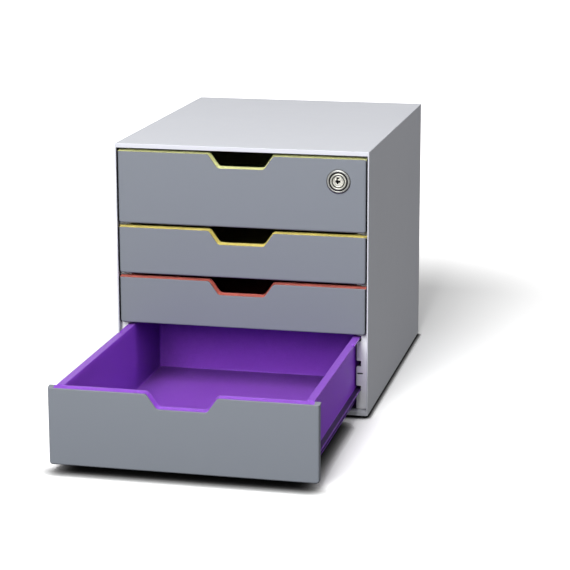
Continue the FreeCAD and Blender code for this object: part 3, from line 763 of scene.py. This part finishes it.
# %% Zinc for the steel behind the front
zinc_steel, zinc, shader, place = new_material("zinc_steel")
crystals = zinc.nodes.new("ShaderNodeTexVoronoi")
crystals.inputs["Scale"].default_value = 420.0
put(zinc, place, crystals.inputs["Vector"])
tone = blend_colour(zinc, crystals.outputs["Distance"], paint(190, 193, 198), paint(160, 163, 168))
put(zinc, tone, shader["Base Color"])
put(zinc, ranged(zinc, noise(zinc, place, 300.0, detail=4.0), 0.32, 0.5), shader["Roughness"])
shader["Metallic"].default_value = 1.0
print("metals:", lock_nickel.name, zinc_steel.name)

# %% [markdown]
# ## The hood
# The top panel and the two thin side skins are one moulding, like an upside-down U. It starts as the
# top panel alone. Two cuts under it mark where the skins hang, and those strips are pulled down.

# %% Hood
TOP_WALL = 5.0
SKIN = 1.5
HOOD_CORNER = 0.8
low, high = corners_mm("housing_hood")
hood = block("hood", (low.x, low.y, high.z - TOP_WALL), high)
score(hood, 0, (low.x + SKIN, high.x - SKIN))
pick(hood, "FACE", lambda at, face: face.normal.z < -0.9 and abs(at.x) > high.x - SKIN)
pull_out((0, 0, low.z - (high.z - TOP_WALL)))
round_edges(hood, HOOD_CORNER, 3, lambda at, edge: (
    runs_along(hood, edge, 1) and near(abs(at.x), high.x) and near(at.z, high.z)))
soften(hood, 0.6, 3)
settle(hood, "housing", "housing_grey", housing_grey, "housing_hood")

# %% [markdown]
# The base closes the U from below. Its underside has a shallow pan in the middle and plain corners for
# the feet.

# %% Base
PAN_BORDER = 27
PAN_DEPTH = 2.2
base = block("base", *corners_mm("housing_base"))
pick(base, "FACE", lambda at, face: face.normal.z < -0.9)
sink_field(PAN_BORDER, (0, 0, PAN_DEPTH))
soften(base, 0.5)
settle(base, "housing", "housing_grey", housing_grey, "housing_base")

# %% [markdown]
# The back is a flat sheet. A slightly sunk field with round corners stiffens it.

# %% Back panel
FIELD_BORDER = 11
FIELD_DEPTH = 0.8
FIELD_CORNER = 6
low, high = corners_mm("housing_back")
back = block("back", low, high)
pick(back, "FACE", lambda at, face: face.normal.y > 0.9)
sink_field(FIELD_BORDER, (0, -FIELD_DEPTH, 0))
round_edges(back, FIELD_CORNER, 5, lambda at, edge: (
    runs_along(back, edge, 1) and abs(at.x) < high.x - 5 and at.y > low.y + 1))
soften(back, 0.25)
settle(back, "housing", "housing_grey", housing_grey, "housing_back")

# %% [markdown]
# ## Runner walls
# On each side a wall carries one slot for every 28 mm of height. The trays' flanges slide in them, so
# any mix of tall and low drawers fits. Ten bars, joined to one cutter, are taken out of the wall at
# once, and the slots' long edges are opened a little so a flange finds its way in.

# %% A wall with its slots
SLOT_PITCH = 28.0
SLOTS = 10
SLOT_RISE = 20.3
SLOT_HEIGHT = 5.8
SLOT_DEPTH = 5.0
SLOT_MOUTH = 0.8
OVERCUT = 1.0


def runner_wall(name, low, high, side):
    """A wall with ten slots along its inner face, open at both ends. side is 1 on the right."""
    wall = block(name, low, high)
    inner = low.x if side > 0 else high.x
    x_low, x_high = sorted((inner - OVERCUT * side, inner + SLOT_DEPTH * side))
    levels, bars = [], []
    for number in range(SLOTS):
        slot_low = low.z + SLOT_RISE + SLOT_PITCH * number
        slot_high = slot_low + SLOT_HEIGHT
        levels += [slot_low, slot_high]
        bars.append(block("slot_cutter", (x_low, low.y - OVERCUT, slot_low),
                          (x_high, high.y + OVERCUT, slot_high)))
    cut_out(wall, join(*bars))
    round_edges(wall, SLOT_MOUTH, 1, lambda at, edge: (
        runs_along(wall, edge, 1) and near(at.x, inner) and near(at.z, *levels)))
    return wall


print("slots a side:", SLOTS)

# %% [markdown]
# A narrow slit is cut in each wall's front face, a little above the second unit line.

# %% Both runner walls with their slits
SLIT_RISE = 11.3
SLIT_START, SLIT_END = 0.8, 7.1
SLIT_HEIGHT = 1.4
SLIT_DEPTH = 5


def cut_slit(wall, low, high, side):
    """Cut the slit in the front face, between two distances from the wall's inner face."""
    inner = low.x if side > 0 else high.x
    slit_low = low.z + SLOT_PITCH + SLIT_RISE
    x_low, x_high = sorted((inner + SLIT_START * side, inner + SLIT_END * side))
    cut_out(wall, block("slit_cutter", (x_low, low.y - OVERCUT, slit_low),
                        (x_high, low.y + SLIT_DEPTH, slit_low + SLIT_HEIGHT)))


for name, side in (("left", -1), ("right", 1)):
    node = f"{name}_runner_wall"
    low, high = corners_mm(node)
    wall = runner_wall(f"{name}_wall", low, high, side)
    cut_slit(wall, low, high, side)
    soften(wall, 0.45)
    settle(wall, "housing", "housing_grey", runner_lit_grey, node)

# %% [markdown]
# ## Feet
# The four feet are flat rubber pads, cut square with round corners. One is made and copied three times.

# %% Feet
FOOT_CORNER = 4
FOOT_BORDER = 3
FOOT_HOLLOW = 0.5
low, high = corners_mm("foot_front_left")
foot = block("foot_front_left_pad", low, high)
round_edges(foot, FOOT_CORNER, 5, lambda at, edge: runs_along(foot, edge, 2))
pick(foot, "FACE", lambda at, face: face.normal.z < -0.9)
sink_field(FOOT_BORDER, (0, 0, FOOT_HOLLOW))
soften(foot, 0.25)
for node in ("foot_front_right", "foot_rear_left", "foot_rear_right"):
    twin = copy_of(foot, f"{node}_pad", corners_mm(node)[0] - low)
    settle(twin, "housing", "foot_rubber", foot_rubber, node)
settle(foot, "housing", "foot_rubber", foot_rubber, "foot_front_left")

# %% [markdown]
# ## Front covers
# A cover is a shallow pan, clipped over the tray's own front wall. It starts as the visible plate. The
# corners of the finger notch are cut lines across its top: moving two of them down makes the notch.
# Then the sides and the bottom are pulled back to make the pan, and the outside is rounded.

# %% Size of the notch
NOTCH_TOP = 36.0
NOTCH_FLOOR = 25.5
NOTCH_DEPTH = 15.0
NOTCH_ROUND = 5.0
NOTCH_SLANT = math.hypot(NOTCH_TOP - NOTCH_FLOOR, NOTCH_DEPTH)
SPREAD = (NOTCH_SLANT - NOTCH_TOP + NOTCH_FLOOR) / NOTCH_DEPTH
ROUND_SHARE = 0.52
CORNER_REACH = 0.9
print("notch slant, mm:", round(NOTCH_SLANT, 1))


def notch_corners(top, spread=0.0):
    """The notch's four corners as (x, z), moved outwards from the cut line by a spread."""
    wide, narrow = NOTCH_TOP + SPREAD * spread, NOTCH_FLOOR + SPREAD * spread
    bottom = top - NOTCH_DEPTH
    return [(-wide, top), (-narrow, bottom), (narrow, bottom), (wide, top)]


def round_notch(piece, *lines):
    """Round the corners of a notch from front to back. Each line is a list of (x, z) corners."""
    corners = [corner for line in lines for corner in line]

    def at_corner(at, edge):
        beside = any(math.dist((at.x, at.z), corner) < CORNER_REACH for corner in corners)
        return beside and runs_along(piece, edge, 1, share=0.7)
    round_edges(piece, NOTCH_ROUND * ROUND_SHARE, 5, at_corner)


# %% [markdown]
# The lock goes through the top drawer's cover and its tray's front wall. A round cutter drills both.

# %% The lock's hole
LOCK_HOLE = 8.5
DRILL_LENGTH = 10


def drill(piece, y):
    """Drill a hole on the lock's axis through a wall that stands at y."""
    bpy.ops.object.select_all(action="DESELECT")
    bpy.ops.mesh.primitive_cylinder_add(
        vertices=64, radius=LOCK_HOLE * MM, depth=DRILL_LENGTH * MM, rotation=(math.pi / 2, 0, 0),
        location=(LOCK_X * MM, y * MM, LOCK_Z * MM))
    cut_out(piece, name_and_settle_origin("drill_bit"))


print("lock hole, mm:", 2 * LOCK_HOLE)

# %% [markdown]
# The sides stop a little below the cover's top edge, where the tray's coloured lip lies over it.

# %% The pan of a cover
COVER_WALL = 2.2
COVER_DEPTH = 8.0
COVER_TOP_STEP = 0.9


def front_cover(name, low, high):
    """A cover with its notch, between its two corners."""
    cover = block(name, low, (high.x, low.y + COVER_WALL, high.z))
    score(cover, 0, [-NOTCH_TOP, -NOTCH_FLOOR, NOTCH_FLOOR, NOTCH_TOP])
    pick(cover, "VERT", lambda at, corner: near(at.z, high.z) and abs(at.x) < NOTCH_FLOOR + 1)
    push((0, 0, -NOTCH_DEPTH))
    side_from, floor_to = high.x - COVER_WALL, low.z + COVER_WALL
    step_at = high.z - COVER_TOP_STEP

    def behind(at, face):
        return face.normal.y > 0.9
    score(cover, 0, [-side_from, side_from], behind)
    score(cover, 2, [floor_to], behind)
    score(cover, 2, [step_at], lambda at, face: behind(at, face) and abs(at.x) > side_from)
    pick(cover, "FACE", lambda at, face: (
        behind(at, face) and at.z < step_at and (abs(at.x) > side_from or at.z < floor_to)))
    pull_out((0, COVER_DEPTH - COVER_WALL, 0))
    return cover


print("cover depth, mm:", COVER_DEPTH)

# %% Four covers, rounded outside
COVER_CORNER = 3.0
COVER_EDGE = 1.9


def finish_cover(cover, low, high):
    """Round a cover's notch, corners and outer edges, and drill the top one for the lock."""
    round_notch(cover, notch_corners(high.z))
    round_edges(cover, COVER_CORNER, 6, lambda at, edge: (
        runs_along(cover, edge, 1) and near(abs(at.x), high.x) and near(at.z, low.z)))
    round_edges(cover, COVER_EDGE, 5, lambda at, edge: near(at.y, low.y) and at.z < high.z - 0.1 and (
        abs(at.x) > high.x - COVER_CORNER or at.z < low.z + COVER_CORNER))
    if low.z < LOCK_Z < high.z:
        drill(cover, low.y)
    soften(cover, 0.35)


DRAWERS = ("drawer_1", "drawer_2", "drawer_3", "drawer_4")
for drawer in DRAWERS:
    low, high = corners_mm(f"{drawer}_front")
    cover = front_cover(f"{drawer}_cover", low, high)
    finish_cover(cover, low, high)
    settle(cover, drawer, "front_grey", front_grey, f"{drawer}_front")

# %% [markdown]
# ## Trays
# The tray is a thin moulded box. It starts as a solid block, loses its top, gets its round corners and
# then its wall with a Solidify modifier. Its front wall has the notch too.

# %% Sizes of the trays
TRAY_HALF = 124.4
TRAY_WALL = 2.0
TRAY_FRONT = 7.2
REAR_CORNER = 5
FRONT_CORNER = 3
FLOOR_CORNER = 3.5
MID_TRAY = 100
LIP_THICK = 2.4
LIP_FRONT = 2.2
LIP_SLOPE = 1.5
LIP_END = 131.5
print("tray width, mm:", 2 * TRAY_HALF)

# %% The open box with its wall
def tray_shell(name, front, low, high):
    """The tray without rims. front is where its cover's face stands."""
    top = high.z
    shell = block(name, (-TRAY_HALF, front + TRAY_FRONT, low.z), (TRAY_HALF, high.y, top))
    pick(shell, "FACE", lambda at, face: face.normal.z > 0.9)
    bpy.ops.mesh.delete(type="ONLY_FACE")
    bpy.ops.object.mode_set(mode="OBJECT")
    round_edges(shell, REAR_CORNER, 6, lambda at, edge: (
        runs_along(shell, edge, 2) and at.y > front + MID_TRAY))
    round_edges(shell, FRONT_CORNER, 4, lambda at, edge: (
        runs_along(shell, edge, 2) and at.y < front + MID_TRAY))
    round_edges(shell, FLOOR_CORNER, 4, lambda at, edge: near(at.z, low.z))

    notch = notch_corners(top, -LIP_SLOPE)
    score(shell, 0, [x for x, z in notch], lambda at, face: face.normal.y < -0.95 and at.z > low.z + 4)
    pick(shell, "VERT", lambda at, corner: (
        near(at.z, top) and near(at.y, front + TRAY_FRONT) and abs(at.x) < NOTCH_FLOOR + 1))
    push((0, 0, -NOTCH_DEPTH))
    bpy.context.view_layer.objects.active = shell
    wall = shell.modifiers.new("wall", "SOLIDIFY")
    wall.thickness = TRAY_WALL * MM
    wall.offset = -1
    wall.use_even_offset = True
    bpy.ops.object.modifier_apply(modifier=wall.name)
    round_notch(shell, notch)
    return shell


print("tray wall, mm:", TRAY_WALL)

# %% [markdown]
# Flat rims and lower flanges are drawn out of the sides. Cuts across the outer walls mark the two bands,
# which are then extruded. The catch is a short piece of rim that stays back.

# %% Rims and flanges
SIDE_REACH = 130.3
FLANGE_RISE = 20.4
FLANGE_THICK = 1.8
CATCH_PLACE = (210.0, 216.0)
CATCH_DEPTH = 3.0
RIM_CORNER = 4
REAR_OF_TRAY = 300


def draw_out_sides(shell, front, bay, top):
    """Pull a flat rim and a lower flange out of both sides. bay is the level of the drawer's bay."""
    rim = (top - LIP_THICK, top)
    flange = (bay + FLANGE_RISE, bay + FLANGE_RISE + FLANGE_THICK)
    catch = [front + place for place in CATCH_PLACE]
    drawn = SIDE_REACH - TRAY_HALF

    def outside(at, face):
        return abs(face.normal.x) > 0.95 and abs(at.x) > TRAY_HALF - 0.1

    def beside_catch(at, face):
        return abs(face.normal.x) > 0.95 and rim[0] < at.z < rim[1] and not catch[0] < at.y < catch[1]
    score(shell, 2, [*flange, rim[0]], outside)
    score(shell, 1, catch, lambda at, face: outside(at, face) and at.z > rim[0])
    for side in (-1, 1):
        for band, far in ((flange, drawn), (rim, drawn - CATCH_DEPTH)):
            pick(shell, "FACE", lambda at, face: (
                outside(at, face) and at.x * side > 0 and band[0] < at.z < band[1]))
            pull_out((far * side, 0, 0))
        pick(shell, "FACE", lambda at, face: (
            near(at.x * side, SIDE_REACH - CATCH_DEPTH) and beside_catch(at, face)))
        pull_out((CATCH_DEPTH * side, 0, 0))
    round_edges(shell, RIM_CORNER, 5, lambda at, edge: (
        runs_along(shell, edge, 2) and near(abs(at.x), SIDE_REACH) and at.y > front + REAR_OF_TRAY))


print("sides drawn out, mm:", round(SIDE_REACH - TRAY_HALF, 1))

# %% [markdown]
# The coloured line round each cover is the tray's front lip, a strip that slopes down over the cover
# and follows the notch. Its lower and upper lines spread differently at the notch, which keeps its
# thickness on the slant.

# %% The front lip
def front_lip(name, front, top, ends):
    """The coloured strip over the cover, from side to side with the notch in it."""
    y_low, y_high = front + LIP_FRONT, front + COVER_DEPTH
    under, under_spread = top - LIP_THICK, LIP_THICK - LIP_SLOPE
    lip = block(name, (-ends, y_low, under), (ends, y_high, top))
    score(lip, 0, [-NOTCH_TOP, -NOTCH_FLOOR, NOTCH_FLOOR, NOTCH_TOP])
    pick(lip, "VERT", lambda at, corner: abs(at.x) < NOTCH_FLOOR + 1)
    push((0, 0, -NOTCH_DEPTH))
    score(lip, 1, [front + TRAY_FRONT])
    # The under line spreads at its full depth, the upper one only behind the lip's front edge.
    for level, behind, spread in ((under, y_low - 1, under_spread), (top, y_low + 0.1, -LIP_SLOPE)):
        for side in (-1, 1):
            pick(lip, "VERT", lambda at, corner: (
                near(at.x * side, NOTCH_TOP, NOTCH_FLOOR) and near(at.z, level, level - NOTCH_DEPTH)
                and at.y > behind))
            push((SPREAD * spread * side, 0, 0))
    pick(lip, "VERT", lambda at, corner: near(at.y, y_low) and near(at.z, top, top - NOTCH_DEPTH))
    push((0, 0, -LIP_SLOPE))

    front_line = notch_corners(top - LIP_SLOPE)
    rear_line = notch_corners(top, -LIP_SLOPE)
    middle_line = [((a[0] + b[0]) / 2, (a[1] + b[1]) / 2) for a, b in zip(front_line, rear_line)]
    round_notch(lip, front_line, rear_line, middle_line, notch_corners(under, under_spread))
    score(lip, 0, (-LIP_END, LIP_END))
    soften(lip, 0.4, angle=28)
    return lip


print("lip thickness, mm:", LIP_THICK)

# %% [markdown]
# Four short ribs hold the cover off the tray's front wall. They are hidden, so plain bars are enough.

# %% Ribs between the tray and its cover
RIB_PLACES = (45.0, 90.0)
RIB_THICK = 2.0
RIB_OVERLAP = 0.5


def clip_ribs(name, front, low, top):
    """Four ribs, two on each side, joined to one piece."""
    starts = [start for place in RIB_PLACES for start in (place, -place - RIB_THICK)]
    rib_top = top - LIP_THICK - NOTCH_DEPTH
    ribs = [block(f"{name}_{number}", (start, front + LIP_FRONT, low.z),
                  (start + RIB_THICK, front + TRAY_FRONT + RIB_OVERLAP, rib_top))
            for number, start in enumerate(starts)]
    joined = join(*ribs)
    soften(joined, 0.3)
    return joined


print("ribs a tray:", 2 * len(RIB_PLACES))

# %% [markdown]
# A tray is its shell, its lip and its ribs in one piece. Its flanges and the wall below them get the
# dark copy of its colour as painted shade, and the ends of the lowest tray's lip get the covers' grey as
# a painted reflection.

# %% Four trays
BAY_GAP = 1.2
LIP_ENDS_PAINTED_REFLECTION = "drawer_4"
slots = {part["node"]: part["material_slot"] for part in frame["record"]["subparts"]}
for drawer in DRAWERS:
    low, high = corners_mm(f"{drawer}_tray")
    cover_low = corners_mm(f"{drawer}_front")[0]
    front, bay = cover_low.y, cover_low.z - BAY_GAP
    shell = tray_shell(f"{drawer}_box", front, low, high)
    draw_out_sides(shell, front, bay, high.z)
    if drawer == "drawer_1":
        drill(shell, FRONT_Y + TRAY_FRONT + 1)
    soften(shell, 0.35, angle=50)
    lip = front_lip(f"{drawer}_lip", front, high.z, high.x)
    tray = join(shell, lip, clip_ribs(f"{drawer}_rib", front, low, high.z))
    slot_name = slots[f"{drawer}_tray"]
    settle(tray, drawer, slot_name, tray_plastics[slot_name], f"{drawer}_tray")
    tray.data.materials.append(flange_painted_shades[slot_name])
    tray.data.materials.append(front_grey)
    flange_top = bay + FLANGE_RISE + FLANGE_THICK + 0.1
    for face in tray.data.polygons:
        at = middle_of(tray, face)
        # Painted shade on the flanges and the outer wall below them.
        if TRAY_HALF - 0.1 < abs(at.x) < SIDE_REACH - 0.5 and at.z < flange_top:
            face.material_index = 1
        # Painted reflection: the ends of the lowest tray's lip in the covers' grey.
        elif drawer == LIP_ENDS_PAINTED_REFLECTION and abs(at.x) > LIP_END + 0.1:
            face.material_index = 2

# %% [markdown]
# ## The lock
# The lock's face is three turned rings: the bezel on the cover, the barrel's collar inside it and the
# plug that turns with the key. Each is a profile spun round the lock's axis, as on a lathe.

# %% The lathe
WELD_MM = 0.002


def lathe(name, profile, steps=96):
    """Spin a closed line of (radius, distance out of the front) corners round the lock's axis."""
    bpy.ops.object.select_all(action="DESELECT")
    radius, out = profile[0]
    start = [length * MM for length in (LOCK_X + radius, FRONT_Y - out, LOCK_Z)]
    bpy.ops.mesh.primitive_plane_add(size=MM, location=start)
    piece = name_and_settle_origin(name)
    bpy.ops.object.mode_set(mode="EDIT")
    bpy.ops.mesh.select_mode(type="VERT")
    bpy.ops.mesh.select_all(action="SELECT")
    bpy.ops.mesh.merge(type="CENTER")
    for (radius, out), (next_radius, next_out) in zip(profile, profile[1:]):
        step = ((next_radius - radius) * MM, (out - next_out) * MM, 0)
        bpy.ops.mesh.extrude_region_move(TRANSFORM_OT_translate={"value": step})
    bpy.ops.mesh.select_all(action="SELECT")
    bpy.ops.mesh.spin(
        steps=steps, angle=2 * math.pi, center=(LOCK_X * MM, 0, LOCK_Z * MM), axis=(0, 1, 0))
    bpy.ops.mesh.select_all(action="SELECT")
    bpy.ops.mesh.remove_doubles(threshold=WELD_MM * MM)
    bpy.ops.mesh.normals_make_consistent(inside=False)
    bpy.ops.object.mode_set(mode="OBJECT")
    return piece


def paint_shade_black(piece, test):
    """Paint the faces that pass the test black, as the shade of a blind recess."""
    piece.data.materials.append(painted_shade_black)
    for face in piece.data.polygons:
        at = middle_of(piece, face)
        if test(math.hypot(at.x - LOCK_X, at.z - LOCK_Z), FRONT_Y - at.y):
            face.material_index = 1


print("the lathe turns about, mm:", round(LOCK_X, 1), round(LOCK_Z, 1))

# %% [markdown]
# The bezel is a low round ring that hides the edge of the hole. The groove inside it is painted black
# as shade.

# %% Bezel
bezel = lathe("bezel", [
    (8.5, 0.0), (13.0, 0.0), (13.0, 0.5), (12.9, 0.9), (12.6, 1.3), (12.2, 1.6), (11.7, 1.75),
    (11.0, 1.8), (10.6, 1.75), (10.3, 1.6), (10.15, 1.3), (10.1, 0.9), (10.1, 0.55), (8.5, 0.55),
    (8.5, 0.0),
])
soften(bezel, 0.06, 1, 40)
settle(bezel, "drawer_1", "lock_nickel", lock_nickel, "lock_bezel")
# Painted shade: the groove's faces turn black.
paint_shade_black(bezel, lambda radius, out: radius < 10.2 and out < 1.2)

# %% [markdown]
# The barrel goes through the front and carries the nut behind it. Only its collar shows.

# %% Barrel
barrel = lathe("barrel", [
    (6.35, -21.0), (8.2, -21.0), (8.2, 0.6), (9.0, 0.6), (9.0, 1.6), (8.9, 1.95), (8.65, 2.2),
    (8.3, 2.3), (7.4, 2.3), (7.1, 2.2), (6.9, 1.95), (6.6, 1.5), (6.4, 0.9), (6.35, -21.0),
])
soften(barrel, 0.06, 1, 40)
settle(barrel, "drawer_1", "lock_nickel", lock_nickel, "lock_barrel")

# %% [markdown]
# The plug turns with the key. Four small blocks cut its stepped keyway, whose walls are painted black
# as shade.

# %% Plug with its keyway
plug_back = corners_mm("lock_plug")[1].y - FRONT_Y
cam_front = corners_mm("lock_cam")[0].y - FRONT_Y
plug = lathe("plug", [
    (0.0, -plug_back), (4.0, -plug_back), (4.0, -cam_front), (6.3, -cam_front), (6.3, 1.35),
    (6.2, 1.65), (5.9, 1.85), (5.6, 1.9), (4.9, 1.9), (4.75, 1.8), (4.6, 1.8), (4.45, 1.9), (0.0, 1.9),
])
KEYWAY = [(-1.9, 1.4, 3.0, 4.4), (-1.9, -0.4, 1.2, 3.2), (-3.0, 2.2, -1.0, 1.4), (-1.5, 0.2, -2.5, -0.8)]
KEYWAY_FROM, KEYWAY_TO = -3.0, 4.2
for left, right, bottom, top in KEYWAY:
    cut_out(plug, block("keyway_cutter", (LOCK_X + left, FRONT_Y + KEYWAY_FROM, LOCK_Z + bottom),
                        (LOCK_X + right, FRONT_Y + KEYWAY_TO, LOCK_Z + top)))
soften(plug, 0.1, 2, 40)
settle(plug, "lock_core", "lock_nickel", lock_nickel, "lock_plug")
# Painted shade: the keyway's walls turn black.
paint_shade_black(plug, lambda radius, out: radius < 5.2 and -4.4 < out < 1.75)

# %% [markdown]
# The steel pieces behind the front keep their engineering shape and get their metal.

# %% Steel pieces
for node in ("lock_nut", "lock_cam", "cam_screw", "lock_strike", "strike_screws"):
    coats = frame["nodes"][node].data.materials
    coats.clear()
    coats.append(zinc_steel)
    print(node, "in zinc")
